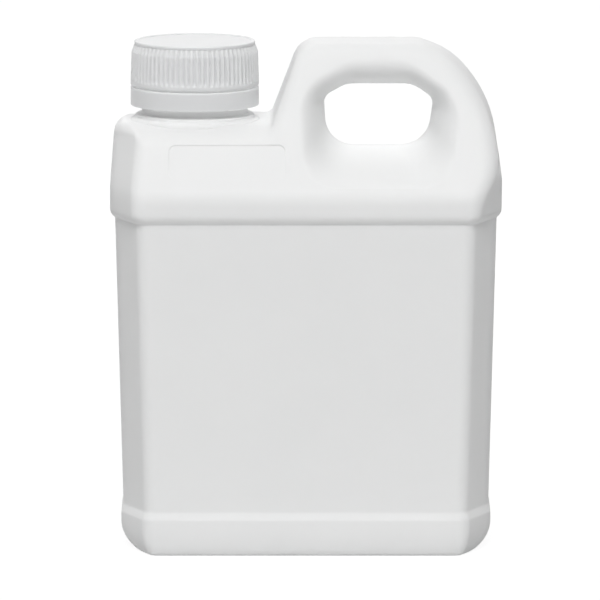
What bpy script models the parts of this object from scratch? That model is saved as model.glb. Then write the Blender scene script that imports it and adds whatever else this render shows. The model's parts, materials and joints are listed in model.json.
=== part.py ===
"""A one-litre white jerrycan: a blow-moulded can with a handle, its screw cap,
the tamper band that the cap leaves on the neck, and the cap's liner.

The front is -Y and the can stands on z = 0, centred on X and Y. Sizes are in
millimetres. The can's skin is worked out as one front half, which the back
mirrors: a stack of rings up to the lean line, and above it columns that run
from the side, round the outer edge, down the leaning front plane and through
the finger recess to the hole's rim. Seen from above, a side is a flat strip,
a facet that turns in towards the front, and a rounding into the front plane.
"""
import math

import bmesh
import bpy
import numpy as np

MM = 0.001
SMOOTH_DEG = 40

# The can as a whole
WIDTH = 126.6
DEPTH = 72.8
HEIGHT = 164.2
WALL = 1.2
HALF_WIDTH = WIDTH / 2
HALF_DEPTH = DEPTH / 2

# Heights, hung one from another down from the handle's top
HANDLE_RISE = 25.6
SHOULDER_RISE = 21.6
RIDGE_RISE = 7.1
SHOULDER_TOP = HEIGHT - HANDLE_RISE
LEAN_START = SHOULDER_TOP - SHOULDER_RISE
RIDGE_BOTTOM = LEAN_START - RIDGE_RISE

# Lower body: how far each level lies inside the ridge, the widest one
FOOT_INSET = 3.4
WAIST_INSET = 4.1
BELT_INSET = 1.6
RIDGE_STEP = 1.6
FOOT_TOP = 12.2
FOOT_STEP = 1.4
BASE_ROUND = 9.0
FRONT_ROUND = 3.0
LEAST_CORNER = 0.3
STANDING_WIDTH = 3.0
PUSH_UP = 2.2
PUSH_UP_SLOPE = 6.0

# Corners: the facet's width seen from the front and how far back it runs, the
# rounding's width, and how the right facet fades out below the handle's flank
FACET_WIDTH = 6.6
FACET_RUN = 16.5
LEAST_FACET = 0.01
EDGE_WIDTH = 4.6
TIGHTEST = 1.5
FADE_TOP = 13.0
FADE_HEIGHT = 20.0

# Shoulder: the front plane leans back above the ridge
LEAN_DEG = 27.0
LEAN_ROUND = 10.0
LEFT_TOP_INSET = 1.4
SHOULDER_CORNER = 5.0
TOP_FACET_WIDTH = 1.6

# Handle outline, measured in from the right side and down from the top. On the
# left it keeps clear of the cap.
NOTCH_GAP = 4.1
NOTCH_ROUND = 3.0
HANDLE_GAP = 13.4
HANDLE_CORNER = 8.4
HANDLE_EDGE = 3.4
BAR_END_INSET = 26.8
BAR_END_ROUND = 10.0
ARCH_INSET = 16.0
ARCH_DROP = 4.1
ARCH_ROUND = 26.0
FLANK_INSET = 3.6
FLANK_DROP = 19.7
FLANK_ROUND = 44.0
FLANK_FOOT_RISE = 2.9
FLANK_FOOT_ROUND = 15.0

# Finger hole: a box between the handle's leg and its grip, with leaning sides. Its
# two top corners are cut, by a share of its width, and all corners are rounded.
BAR_THICKNESS = 14.0
LEG_WIDTH = 7.6
GRIP_WIDTH = 22.0
HOLE_HEIGHT = 20.5
LEFT_LEAN = 1.1
RIGHT_LEAN = 2.2
LEFT_CUT = 0.21
RIGHT_CUT = 0.19
LEFT_CUT_DROP = 4.0
RIGHT_CUT_DROP = 4.7
HOLE_RADII = (9.5, 4.0, 9.0, 10.0, 4.0, 10.0)

# Recess round the hole: its distance from the left, left cut, top, right cut,
# right and bottom edge of the hole, and its corners' radii in the same order
RECESS_MARGINS = (8.3, 8.2, 9.9, 7.2, 9.5, 9.7)
RECESS_RADII = (12.0, 13.0, 13.0, 15.0, 14.0, 13.0)

# Neck: its radius is what the cap, the cap's wall and the threads leave
NECK_INSET = 27.3
NECK_WALL = 2.0
PLINTH_STEP = 2.0
PLINTH_RISE = 1.8
PAD_WIDTH = 1.8
PAD_RISE = 0.3
PAD_SLOPE = 0.6
THREAD_PITCH = 4.2
THREAD_TURNS = 1.25
THREAD_HEIGHT = 1.3
THREAD_CREST = 0.9
THREAD_ROOT = 2.4
CAP_THREAD_ROOT = 1.7
THREAD_BURIED = 0.4
THREAD_LEAD_IN = 1.3
THREAD_RUN_OUT = 0.075
THREAD_TIP = 0.05
CATCH_HEIGHT = 1.9
CATCH_LAND = 0.5
COLLAR_DEPTH = 1.5
LIP_BREAK = 0.5

# Cap, band and liner
CAP_RADIUS = 20.8
CAP_WALL = 1.95
CAP_HEIGHT = 14.5
CAP_ROOF = 1.5
CAP_TOP_INSET = 1.2
CAP_TAPER = 0.3
RIM_HEIGHT = 1.1
RIM_WIDTH = 1.2
RIM_GROOVE = 0.15
PANEL_DROP = 0.3
BEAD_HEIGHT = 1.6
RIBS = 72
RIB_DEPTH = 0.6
RIB_FOOT = 0.5
RIB_HEAD_TOP = 0.6
RIB_HEAD_BOTTOM = 2.4
BAND_HEIGHT = 6.0
HOOK_HEIGHT = 0.8
BRIDGES = 8
BRIDGE_WIDTH = 1.0
BRIDGE_ROOT = 0.5
LINER_THICKNESS = 1.0
EDGE_BREAK = 0.3
TOP_BREAK = 0.2

# Clearances
CUT_PAST = 5.0
UNDER_BAND_GAP = 2.8
BREAK_GAP = 0.5
HOOK_GAP = 0.4
RUNNING_GAP = 0.35
TOUCH_GAP = 0.3

# Mesh fineness, and where the shoulder's columns meet the recess: the first four
# places are measured from its lower left corner, the last from its lower right
LONGEST_SIDE = 7.0
EDGE_STEPS = 3
SCOOP_STEPS = 5
BOTTOM_COLUMNS = 10
ROUND_STEPS = 48
LOOP_STEPS = 24
LOOP_MARKS = 1440
THREAD_STEPS = 40
FAN = ((5.3, 0.5), (1.3, 2.7), (-0.6, 5.5), (-1.5, 11.6), (-2.4, 1.5))

LEAN = math.tan(math.radians(LEAN_DEG))
LEAN_ARC_Z = LEAN_ROUND * math.tan(math.radians(LEAN_DEG / 2))
SPLIT_Z = LEAN_START + LEAN_ARC_Z * math.cos(math.radians(LEAN_DEG))
FACET_SLOPE = math.atan2(FACET_WIDTH, FACET_RUN)

CAP_INSIDE = CAP_RADIUS - CAP_WALL
NECK_RADIUS = CAP_INSIDE - RUNNING_GAP - THREAD_HEIGHT
PLINTH_RADIUS = NECK_RADIUS + PLINTH_STEP
NECK_X = NECK_INSET - HALF_WIDTH
LEFT_TOP = (LEFT_TOP_INSET - HALF_WIDTH, SHOULDER_TOP)
NOTCH = (NECK_X + CAP_RADIUS + NOTCH_GAP, SHOULDER_TOP)
HANDLE_LEFT = NECK_X + CAP_RADIUS + HANDLE_GAP
FLANK = (HALF_WIDTH - FLANK_INSET, HEIGHT - FLANK_DROP)

NECK_BORE = NECK_RADIUS - NECK_WALL
PLINTH_TOP = SHOULDER_TOP + PLINTH_RISE
BAND_BOTTOM = PLINTH_TOP + UNDER_BAND_GAP
BAND_TOP = BAND_BOTTOM + BAND_HEIGHT
CAP_BOTTOM = BAND_TOP + BREAK_GAP
CAP_TOP = CAP_BOTTOM + CAP_HEIGHT
CAP_CEILING = CAP_TOP - PANEL_DROP - CAP_ROOF
LINER_TOP = CAP_CEILING - TOUCH_GAP
NECK_TOP = LINER_TOP - LINER_THICKNESS - TOUCH_GAP
CATCH_TOP = BAND_TOP - TOUCH_GAP
HOOK_TOP = CATCH_TOP - CATCH_HEIGHT - HOOK_GAP
CAP_THREAD_START = CAP_BOTTOM + THREAD_LEAD_IN

# The closed cap's thread sits just under the neck's thread, flank to flank
THREAD_FLANK = (THREAD_ROOT - THREAD_CREST) / 2 / (THREAD_HEIGHT + THREAD_BURIED)
THREAD_SEAT = THREAD_CREST + THREAD_FLANK * (THREAD_HEIGHT - RUNNING_GAP) + RUNNING_GAP
NECK_THREAD_START = CAP_THREAD_START + THREAD_SEAT


def clear_scene():
    for obj in list(bpy.data.objects):
        bpy.data.objects.remove(obj, do_unlink=True)


def material(name, colour, roughness):
    made = bpy.data.materials.new(name)
    made.use_nodes = True
    shader = made.node_tree.nodes["Principled BSDF"]
    shader.inputs["Base Color"].default_value = (*colour, 1.0)
    shader.inputs["Roughness"].default_value = roughness
    return made


def neck_empty():
    """An empty on the neck's axis. It carries the cap's pieces and all that is turned about that axis."""
    empty = bpy.data.objects.new("neck_axis", None)
    empty.location = (NECK_X * MM, 0.0, 0.0)
    bpy.context.scene.collection.objects.link(empty)
    return empty


def solid(name, points, faces, paint=None, parent=None):
    """One closed mesh object, in metres, with its doubles merged and its faces turned out."""
    mesh = bpy.data.meshes.new(name)
    mesh.from_pydata((np.asarray(points) * MM).tolist(), [], faces)
    work = bmesh.new()
    work.from_mesh(mesh)
    bmesh.ops.remove_doubles(work, verts=work.verts, dist=1e-6)
    bmesh.ops.dissolve_degenerate(work, edges=work.edges, dist=1e-6)
    bmesh.ops.recalc_face_normals(work, faces=work.faces)
    work.to_mesh(mesh)
    work.free()
    mesh.shade_smooth()
    mesh.set_sharp_from_angle(angle=math.radians(SMOOTH_DEG))
    obj = bpy.data.objects.new(name, mesh)
    obj.parent = parent
    bpy.context.scene.collection.objects.link(obj)
    if paint:
        mesh.materials.append(paint)
    else:
        obj.hide_render = True
        obj.display_type = "WIRE"
    return obj


def boolean(target, other, operation):
    step = target.modifiers.new(other.name, "BOOLEAN")
    step.object = other
    step.operation = operation
    step.solver = "EXACT"


def grid_faces(rows, columns, start=0, wrap=False):
    """Quads of a grid stored row by row; wrap joins the last column to the first."""
    faces = []
    for row in range(rows - 1):
        for column in range(columns if wrap else columns - 1):
            after = (column + 1) % columns
            low = start + row * columns
            high = low + columns
            faces.append((low + column, low + after, high + after, high + column))
    return faces


def stack(rings):
    """Points and faces of a closed body made of rings of equal length, with flat ends."""
    count = len(rings[0])
    faces = grid_faces(len(rings), count, wrap=True)
    faces.append(tuple(range(count)))
    last = (len(rings) - 1) * count
    faces.append(tuple(range(last, last + count)))
    return np.concatenate(rings), faces


def circle(radius, z, steps=ROUND_STEPS):
    """A ring about the neck's axis; radius may be an array with one value a step."""
    turn = np.arange(steps) * 2 * math.pi / steps
    return np.column_stack([radius * np.cos(turn), radius * np.sin(turn), np.full(steps, float(z))])


def turned(name, profile, neck, paint=None):
    """A solid of revolution on the neck's axis, its profile [(radius, z), ...] from the bottom up."""
    return solid(name, *stack([circle(radius, z) for radius, z in profile]), paint, neck)


def tube(profile, steps=ROUND_STEPS):
    """Points and faces of a closed ring whose section is the profile [(radius, z), ...]."""
    rings = [circle(radius, z, steps) for radius, z in profile]
    faces = grid_faces(len(rings), steps, wrap=True)
    first = (len(rings) - 1) * steps
    for column in range(steps):
        after = (column + 1) % steps
        faces.append((first + column, first + after, after, column))
    return np.concatenate(rings), faces


def fillet(before, corner, after, radius, steps):
    """Points of the arc that rounds a corner, from the side of before to that of after."""
    towards = (before - corner) / np.linalg.norm(before - corner)
    away = (after - corner) / np.linalg.norm(after - corner)
    half = math.acos(np.clip(towards @ away, -1, 1)) / 2
    centre = corner + (towards + away) / np.linalg.norm(towards + away) * radius / math.sin(half)
    first = corner + towards * radius / math.tan(half) - centre
    turning = math.pi - 2 * half
    side = np.sign(first[0] * (corner - centre)[1] - first[1] * (corner - centre)[0])
    angle = side * turning * np.arange(steps + 1) / steps
    x = first[0] * np.cos(angle) - first[1] * np.sin(angle)
    z = first[0] * np.sin(angle) + first[1] * np.cos(angle)
    return centre + np.column_stack([x, z])


def loop(corners, steps):
    """A closed rounded polygon: every corner an arc of the same number of points."""
    at = np.array([corner[:2] for corner in corners])
    parts = []
    for index, (x, z, radius) in enumerate(corners):
        following = at[(index + 1) % len(at)]
        parts.append(fillet(at[index - 1], at[index], following, radius, steps))
    return np.concatenate(parts)


def hole_corners():
    """The finger hole's corners (x, z, radius), clockwise from the lower left."""
    right = HALF_WIDTH - GRIP_WIDTH
    left = HANDLE_LEFT + LEG_WIDTH
    top = HEIGHT - BAR_THICKNESS
    bottom = top - HOLE_HEIGHT
    places = (
        (left + LEFT_LEAN, bottom),
        (left, top - LEFT_CUT_DROP),
        (left + LEFT_CUT * (right - left), top),
        (right - RIGHT_CUT * (right - left), top),
        (right, top - RIGHT_CUT_DROP),
        (right - RIGHT_LEAN, bottom),
    )
    return [(x, z, radius) for (x, z), radius in zip(places, HOLE_RADII)]


def recess_corners():
    """The recess's corners: the hole's edges moved out by the margins, so that they stay parallel."""
    at = np.array([corner[:2] for corner in hole_corners()])
    run = np.roll(at, -1, axis=0) - at
    run /= np.linalg.norm(run, axis=1, keepdims=True)
    out = np.column_stack([-run[:, 1], run[:, 0]])
    moved = at + out * np.array(RECESS_MARGINS)[:, None]
    found = []
    for index, radius in enumerate(RECESS_RADII):
        back = moved[index] - moved[index - 1]
        turn = run[index - 1, 0] * run[index, 1] - run[index - 1, 1] * run[index, 0]
        share = (back[0] * run[index, 1] - back[1] * run[index, 0]) / turn
        x, z = moved[index - 1] + run[index - 1] * share
        found.append((x, z, radius))
    return found


def along(points, closed=False):
    """Distance along a path to each of its points, and to its start again if closed."""
    path = np.vstack([points, points[:1]]) if closed else points
    return np.concatenate([[0.0], np.cumsum(np.linalg.norm(np.diff(path, axis=0), axis=1))])


def flank_facet(z):
    """Width of the right side's facet at height z. It fades out below the handle's flank."""
    share = np.clip((LEAN_START + FADE_TOP - z) / FADE_HEIGHT, 0, 1)
    return FACET_WIDTH * share * share * (3 - 2 * share)


def mitre(before, after, margins):
    """How a corner moves when its two sides, given by their normals, move in by two margins."""
    turn = before @ after
    if margins[0] == margins[1]:
        return (before + after) * margins[0] / (1 + turn)
    shares = np.array([margins[0] - turn * margins[1], margins[1] - turn * margins[0]])
    return (before * shares[0] + after * shares[1]) / (1 - turn * turn)


def outline():
    """The can's outline above the lean line, clockwise from the left, as three matched paths.

    They are the silhouette, the crease where the facet meets the rounding, and
    the crest where the rounding meets the front plane. A station is (x, z,
    corner radius, arc steps, facet width before and after it, edge width). The
    facet below the handle's flank is added last.
    """
    stations = (
        (-HALF_WIDTH, SPLIT_Z, 0, 0, (FACET_WIDTH, FACET_WIDTH), EDGE_WIDTH),
        (*LEFT_TOP, SHOULDER_CORNER, 6, (FACET_WIDTH, TOP_FACET_WIDTH), EDGE_WIDTH),
        (*NOTCH, NOTCH_ROUND, 5, (TOP_FACET_WIDTH, 0.0), EDGE_WIDTH),
        (HANDLE_LEFT, HEIGHT, HANDLE_CORNER, 7, (0.0, 0.0), HANDLE_EDGE),
        (HALF_WIDTH - BAR_END_INSET, HEIGHT, BAR_END_ROUND, 3, (0.0, 0.0), HANDLE_EDGE),
        (HALF_WIDTH - ARCH_INSET, HEIGHT - ARCH_DROP, ARCH_ROUND, 8, (0.0, 0.0), EDGE_WIDTH),
        (*FLANK, FLANK_ROUND, 4, (0.0, 0.0), EDGE_WIDTH),
        (HALF_WIDTH, SPLIT_Z + FLANK_FOOT_RISE, FLANK_FOOT_ROUND, 2, (0.0, 0.0), EDGE_WIDTH),
        (HALF_WIDTH, SPLIT_Z, 0, 0, (0.0, 0.0), EDGE_WIDTH),
    )
    at = np.array([station[:2] for station in stations])
    run = np.diff(at, axis=0)
    run /= np.linalg.norm(run, axis=1, keepdims=True)
    right = np.column_stack([run[:, 1], -run[:, 0]])
    before = np.vstack([(1.0, 0.0), right[:-1], (-1.0, 0.0)])
    after = np.vstack([(1.0, 0.0), right[1:], (-1.0, 0.0)])
    bend = np.sign(before[:, 0] * after[:, 1] - before[:, 1] * after[:, 0])
    corners = [[], [], []]
    for index, (_, _, radius, _, facet, edge) in enumerate(stations):
        facet = np.array(facet)
        for path, margins in zip(corners, (0 * facet, facet, facet + edge)):
            place = at[index] + mitre(before[index], after[index], margins)
            path.append((*place, max(radius + bend[index] * margins.mean(), TIGHTEST)))
    paths = [rounded(path, stations) for path in corners]
    fading = flank_facet(paths[0][:, 1]) * (paths[0][:, 0] > 0)
    for path in paths[1:]:
        path[:, 0] -= fading
    return paths


def rounded(corners, stations):
    """An open path through rounded corners; the stations say how many points each stretch gets."""
    at = np.array([corner[:2] for corner in corners])
    points = [at[0]]
    for index in range(1, len(stations)):
        part = at[index:index + 1]
        if stations[index][3]:
            part = fillet(at[index - 1], at[index], at[index + 1], corners[index][2], stations[index][3])
        start = points[-1]
        span = np.linalg.norm(np.subtract(stations[index][:2], stations[index - 1][:2]))
        sides = int(span // LONGEST_SIDE) + 1
        points.extend(start + (part[0] - start) * n / sides for n in range(1, sides))
        points.extend(part)
    return np.array(points)


def edge_levels(facet, edge):
    """From a side's strip to the crest: (share of facet, share of rounding, drop behind the plane).

    Every facet has the same slope, and where it gets narrower than TOP_FACET_WIDTH
    it turns into the side instead. The rounding is an arc tangent to the facet and
    to the front plane.
    """
    slope = FACET_SLOPE * np.clip(facet / TOP_FACET_WIDTH, LEAST_FACET, 1)
    run = np.maximum(facet, LEAST_FACET * TOP_FACET_WIDTH) / np.tan(slope)
    turn = math.pi / 2 - slope
    radius = edge / np.sin(turn)
    levels = [(0.0, 0.0 * turn, run + radius * (1 - np.cos(turn)))]
    for angle in np.linspace(turn, 0 * turn, EDGE_STEPS + 1):
        levels.append((1.0, 1 - np.sin(angle) / np.sin(turn), radius * (1 - np.cos(angle))))
    return levels


def half_depth(z):
    """Half the can's depth on the leaning plane at height z."""
    return HALF_DEPTH - LEAN * (z - LEAN_START)


def upper_half():
    """Front half of the skin above the lean line: points and faces, y from 0 to the front."""
    outer, crease, inner = outline()
    recess = loop(recess_corners(), LOOP_STEPS)
    hole = loop(hole_corners(), LOOP_STEPS)
    ring = along(recess, closed=True)
    lap = ring[-1]

    def on(closed, distance):
        path = np.vstack([closed, closed[:1]])
        whole = np.mod(distance, lap)
        return np.column_stack([np.interp(whole, ring, path[:, i]) for i in (0, 1)])

    # Which point of the recess each outline point looks at: the nearest one round
    # the handle, and on the shoulder the ones that share it out without crossing
    marks = np.linspace(0, lap, LOOP_MARKS, endpoint=False)
    dense = on(recess, marks)

    def nearest(point):
        return marks[np.argmin(np.linalg.norm(dense - point, axis=1))]

    def station(place):
        return np.argmin(np.linalg.norm(outer - place, axis=1))

    lower_left, lower_right = (np.array(recess_corners()[index][:2]) for index in (0, -1))
    looks = {
        0: nearest(lower_left + FAN[0]),
        station(LEFT_TOP): nearest(lower_left + FAN[1]),
        station((NECK_X, SHOULDER_TOP)): nearest(lower_left + FAN[2]),
        station(NOTCH): nearest(lower_left + FAN[3]),
        len(outer) - 1: nearest(lower_right + FAN[4]),
    }
    for index in range(station(NOTCH) + 2, station(FLANK) + 1):
        looks[index] = nearest(inner[index])
    order = sorted(looks)
    start = looks[order[0]]
    targets = [looks[index] + lap * (looks[index] < start) for index in order]
    length = along(outer)
    columns = np.interp(length, length[order], targets)
    x = np.linspace(inner[-1, 0], inner[0, 0], BOTTOM_COLUMNS + 1)[1:-1]
    bottom = np.column_stack([x, np.full(len(x), SPLIT_Z)])
    share = np.arange(1, BOTTOM_COLUMNS) / BOTTOM_COLUMNS
    columns = np.concatenate([columns, columns[-1] + share * (start + lap - columns[-1])])
    crest = on(recess, columns)
    rim = on(hole, columns)

    def placed(xz, depth):
        return np.column_stack([xz[:, 0], -depth, xz[:, 1]])

    # Side strip, facet and rounding, on the outline's columns only
    facet = np.linalg.norm(crease - outer, axis=1)
    edge = np.linalg.norm(inner - crease, axis=1)
    rows = [placed(outer, np.zeros(len(outer)))]
    for on_facet, on_edge, drop in edge_levels(facet, edge):
        xz = outer + (crease - outer) * on_facet + (inner - crease) * on_edge[:, None]
        rows.append(placed(xz, half_depth(xz[:, 1]) - drop))
    points = np.concatenate(rows)
    faces = grid_faces(len(rows), len(outer))

    # Leaning plane, then the recess, on all columns
    plane = np.vstack([inner, bottom])
    rows = [placed(plane, half_depth(plane[:, 1]))]
    for angle in np.linspace(math.pi / 2, 0, SCOOP_STEPS + 1):
        xz = rim + (crest - rim) * (1 - math.cos(angle))
        rows.append(placed(xz, half_depth(xz[:, 1]) * math.sin(angle)))
    faces += grid_faces(len(rows), len(plane), start=len(points), wrap=True)
    return np.concatenate([points] + rows), faces


def body_rings():
    """(z, half width, half depth, share of the corners' width) up the lower body from the base's middle."""
    inset = HALF_WIDTH - HALF_DEPTH
    foot = HALF_WIDTH - FOOT_INSET
    standing = foot - BASE_ROUND - STANDING_WIDTH
    rings = [(PUSH_UP, standing - PUSH_UP_SLOPE), (0.0, standing)]
    for angle in np.linspace(0, math.pi / 2, EDGE_STEPS + 1):
        rings.append((BASE_ROUND * (1 - math.cos(angle)), foot - BASE_ROUND * (1 - math.sin(angle))))
    rings += [
        (FOOT_TOP, foot),
        (FOOT_TOP + FOOT_STEP, HALF_WIDTH - WAIST_INSET),
        (RIDGE_BOTTOM - RIDGE_STEP, HALF_WIDTH - BELT_INSET),
        (RIDGE_BOTTOM, HALF_WIDTH),
        (RIDGE_BOTTOM + (LEAN_START - LEAN_ARC_Z - RIDGE_BOTTOM) / 2, HALF_WIDTH),
        (LEAN_START - LEAN_ARC_Z, HALF_WIDTH),
    ]
    found = []
    for z, half in rings:
        cut = max(0.0, foot - half) if z < BASE_ROUND else 0.0
        share = max(1 - cut / (FACET_WIDTH + EDGE_WIDTH), LEAST_CORNER)
        deeper = (BASE_ROUND - FRONT_ROUND) * min(cut / BASE_ROUND, 1.0)
        found.append((z, half, half - inset + deeper, share))
    for angle in np.radians([LEAN_DEG / 2, LEAN_DEG]):
        z = LEAN_START - LEAN_ARC_Z + LEAN_ROUND * math.sin(angle)
        found.append((z, HALF_WIDTH, HALF_DEPTH - LEAN_ROUND * (1 - math.cos(angle)), 1.0))
    return found


def lower_half():
    """Front half of the skin below the lean line, its top row on the upper half's bottom row."""
    rows = []
    for z, half, depth, share in body_rings():
        facet = np.array([flank_facet(z), FACET_WIDTH]) * share
        edge = np.full(2, EDGE_WIDTH * share)
        corner = [(np.full(2, half), np.zeros(2))]
        for on_facet, on_edge, drop in edge_levels(facet, edge):
            corner.append((half - facet * on_facet - edge * on_edge, depth - drop))
        corner = np.array(corner)
        right, left = corner[:, :, 0], corner[::-1, :, 1] * (-1, 1)
        flat = np.linspace(right[-1, 0], left[0, 0], BOTTOM_COLUMNS + 1)[1:-1]
        middle = np.column_stack([flat, np.full(len(flat), depth)])
        ring = np.vstack([right, middle, left])
        rows.append(np.column_stack([ring[:, 0], -ring[:, 1], np.full(len(ring), z)]))
    faces = grid_faces(len(rows), len(rows[0]))
    return np.concatenate(rows), faces, rows[0]


def skin(name, paint=None):
    """The can's closed outer form, both halves, without its neck."""
    upper, upper_faces = upper_half()
    lower, lower_faces, floor = lower_half()
    points, faces = [], []
    for side in (1, -1):
        for part, quads in ((upper, upper_faces), (lower, lower_faces)):
            start = sum(len(p) for p in points)
            points.append(part * (1, side, 1))
            faces += [tuple(start + i for i in quad) for quad in quads]
    start = sum(len(p) for p in points)
    points.append(np.vstack([floor, floor[-2:0:-1] * (1, -1, 1)]))
    faces.append(tuple(range(start, start + len(points[-1]))))
    return solid(name, np.concatenate(points), faces, paint)


def shrink(obj, by):
    """Moves a closed form's faces inwards by a wall thickness."""
    work = bmesh.new()
    work.from_mesh(obj.data)
    work.normal_update()
    moved = [v.co - v.normal * v.calc_shell_factor() * by * MM for v in work.verts]
    for vertex, place in zip(work.verts, moved):
        vertex.co = place
    work.to_mesh(obj.data)
    work.free()


def ridge(name, neck, wall, reach, start, root, steps=THREAD_STEPS):
    """A helical thread of one start, as a closed ridge that is rooted in its wall.

    It reaches from the wall's radius by reach, inwards if that is negative, and
    runs out into the wall at both ends. Its sections stand between the wall's edges.
    """
    share = np.linspace(0, 1, steps + 1)
    turn = share * THREAD_TURNS * 2 * math.pi + math.pi / ROUND_STEPS / 2
    rooted = wall - math.copysign(THREAD_BURIED, reach)
    height = np.minimum(1, np.minimum(share, 1 - share) / THREAD_RUN_OUT + THREAD_TIP)
    rings = []
    for level in range(len(share)):
        middle = start + THREAD_PITCH * THREAD_TURNS * share[level]
        tip = rooted + (wall + reach - rooted) * height[level]
        section = ((rooted, -root / 2), (tip, -THREAD_CREST / 2), (tip, THREAD_CREST / 2), (rooted, root / 2))
        x, y = math.cos(turn[level]), math.sin(turn[level])
        rings.append(np.array([(r * x, r * y, middle + up) for r, up in section]))
    return solid(name, *stack(rings), parent=neck)


def make_can(neck):
    paint = material("can_polyethylene", (0.86, 0.87, 0.87), 0.42)
    can = skin("can_body", paint)
    foot = SHOULDER_TOP - WALL - COLLAR_DEPTH
    crest = NECK_RADIUS + THREAD_HEIGHT
    catch = CATCH_TOP - CATCH_HEIGHT
    pad = PLINTH_RADIUS + PAD_WIDTH
    profile = [(pad, foot), (pad, SHOULDER_TOP + PAD_RISE),
               (PLINTH_RADIUS, SHOULDER_TOP + PAD_RISE + PAD_SLOPE),
               (PLINTH_RADIUS, PLINTH_TOP - EDGE_BREAK), (PLINTH_RADIUS - EDGE_BREAK, PLINTH_TOP),
               (NECK_RADIUS, PLINTH_TOP), (NECK_RADIUS, catch),
               (crest, catch + EDGE_BREAK), (crest, catch + EDGE_BREAK + CATCH_LAND),
               (NECK_RADIUS, CATCH_TOP), (NECK_RADIUS, NECK_TOP - LIP_BREAK),
               (NECK_RADIUS - LIP_BREAK, NECK_TOP)]
    form = turned("neck_form", profile, neck)
    thread = ridge("neck_thread", neck, NECK_RADIUS, THREAD_HEIGHT, NECK_THREAD_START, THREAD_ROOT)
    bore = turned("neck_bore", [(NECK_BORE, foot - CUT_PAST), (NECK_BORE, NECK_TOP + CUT_PAST)], neck)
    hollow = skin("can_hollow")
    shrink(hollow, WALL)
    boolean(can, form, "UNION")
    boolean(can, thread, "UNION")
    boolean(can, hollow, "DIFFERENCE")
    boolean(can, bore, "DIFFERENCE")
    return can


def cap_rings():
    """Rings of the cap's outside, from its bottom up, with a rib at every other point."""
    steps = RIBS * 2
    plain = np.ones(steps)
    valley = RIB_DEPTH * (1 - np.arange(steps) % 2)
    body = CAP_BOTTOM + BEAD_HEIGHT
    groove = CAP_TOP - RIM_HEIGHT
    rim = CAP_RADIUS - CAP_TOP_INSET
    return [
        circle(plain * (CAP_RADIUS - EDGE_BREAK), CAP_BOTTOM, steps),
        circle(plain * CAP_RADIUS, CAP_BOTTOM + EDGE_BREAK, steps),
        circle(plain * CAP_RADIUS, body, steps),
        circle(CAP_RADIUS - valley, body + RIB_FOOT, steps),
        circle(CAP_RADIUS - CAP_TAPER - valley, groove - RIB_HEAD_BOTTOM, steps),
        circle(rim + TOP_BREAK - valley, groove - RIB_HEAD_TOP, steps),
        circle(plain * (rim - RIM_GROOVE), groove, steps),
        circle(plain * rim, groove + EDGE_BREAK, steps),
        circle(plain * rim, CAP_TOP - TOP_BREAK, steps),
        circle(plain * (rim - TOP_BREAK), CAP_TOP, steps),
        circle(plain * (rim - RIM_WIDTH), CAP_TOP, steps),
        circle(plain * (rim - RIM_WIDTH - EDGE_BREAK), CAP_TOP - PANEL_DROP, steps),
    ]


def make_cap(neck):
    paint = material("cap_polypropylene", (0.84, 0.85, 0.85), 0.35)
    cap = solid("screw_cap", *stack(cap_rings()), paint, neck)
    mouth = CAP_INSIDE + EDGE_BREAK
    profile = [(mouth, CAP_BOTTOM - CUT_PAST), (mouth, CAP_BOTTOM),
               (CAP_INSIDE, CAP_BOTTOM + EDGE_BREAK), (CAP_INSIDE, CAP_CEILING)]
    hollow = turned("cap_hollow", profile, neck)
    thread = ridge("cap_thread", neck, CAP_INSIDE, -THREAD_HEIGHT, CAP_THREAD_START, CAP_THREAD_ROOT)
    boolean(cap, hollow, "DIFFERENCE")
    boolean(cap, thread, "UNION")
    return cap


def make_band(neck):
    paint = material("band_polypropylene", (0.84, 0.85, 0.85), 0.35)
    hook = NECK_RADIUS + TOUCH_GAP
    profile = [(CAP_RADIUS, BAND_BOTTOM + EDGE_BREAK), (CAP_RADIUS, BAND_TOP - EDGE_BREAK),
               (CAP_RADIUS - EDGE_BREAK, BAND_TOP), (CAP_INSIDE, BAND_TOP), (CAP_INSIDE, HOOK_TOP),
               (hook, HOOK_TOP), (hook, HOOK_TOP - HOOK_HEIGHT), (CAP_INSIDE, BAND_BOTTOM),
               (CAP_RADIUS - EDGE_BREAK, BAND_BOTTOM)]
    band = solid("tamper_band", *tube(profile, steps=ROUND_STEPS * 2), paint, neck)
    middle = (CAP_INSIDE + CAP_RADIUS) / 2
    half = (CAP_RADIUS - CAP_INSIDE) / 4
    points, faces = [], []
    for number in range(BRIDGES):
        angle = 2 * math.pi * (number + 0.5) / BRIDGES
        out = np.array((math.cos(angle), math.sin(angle)))
        side = np.array((-out[1], out[0])) * BRIDGE_WIDTH / 2
        foot = [out * (middle - half) - side, out * (middle + half) - side,
                out * (middle + half) + side, out * (middle - half) + side]
        rings = [np.array([(x, y, z) for x, y in foot])
                 for z in (BAND_TOP - BRIDGE_ROOT, CAP_BOTTOM - TOUCH_GAP)]
        part, quads = stack(rings)
        faces += [tuple(len(points) + i for i in quad) for quad in quads]
        points.extend(part)
    bridges = solid("bridges", points, faces, parent=neck)
    boolean(band, bridges, "UNION")
    return band


def make_liner(neck):
    paint = material("liner_foam", (0.80, 0.80, 0.78), 0.8)
    radius = NECK_RADIUS + THREAD_HEIGHT - TOUCH_GAP
    bottom = LINER_TOP - LINER_THICKNESS
    profile = [(radius - TOP_BREAK, bottom), (radius, bottom + TOP_BREAK),
               (radius, LINER_TOP - TOP_BREAK), (radius - TOP_BREAK, LINER_TOP)]
    return turned("cap_liner", profile, neck, paint)


clear_scene()
axis = neck_empty()
make_can(axis)
make_cap(axis)
make_band(axis)
make_liner(axis)
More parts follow.
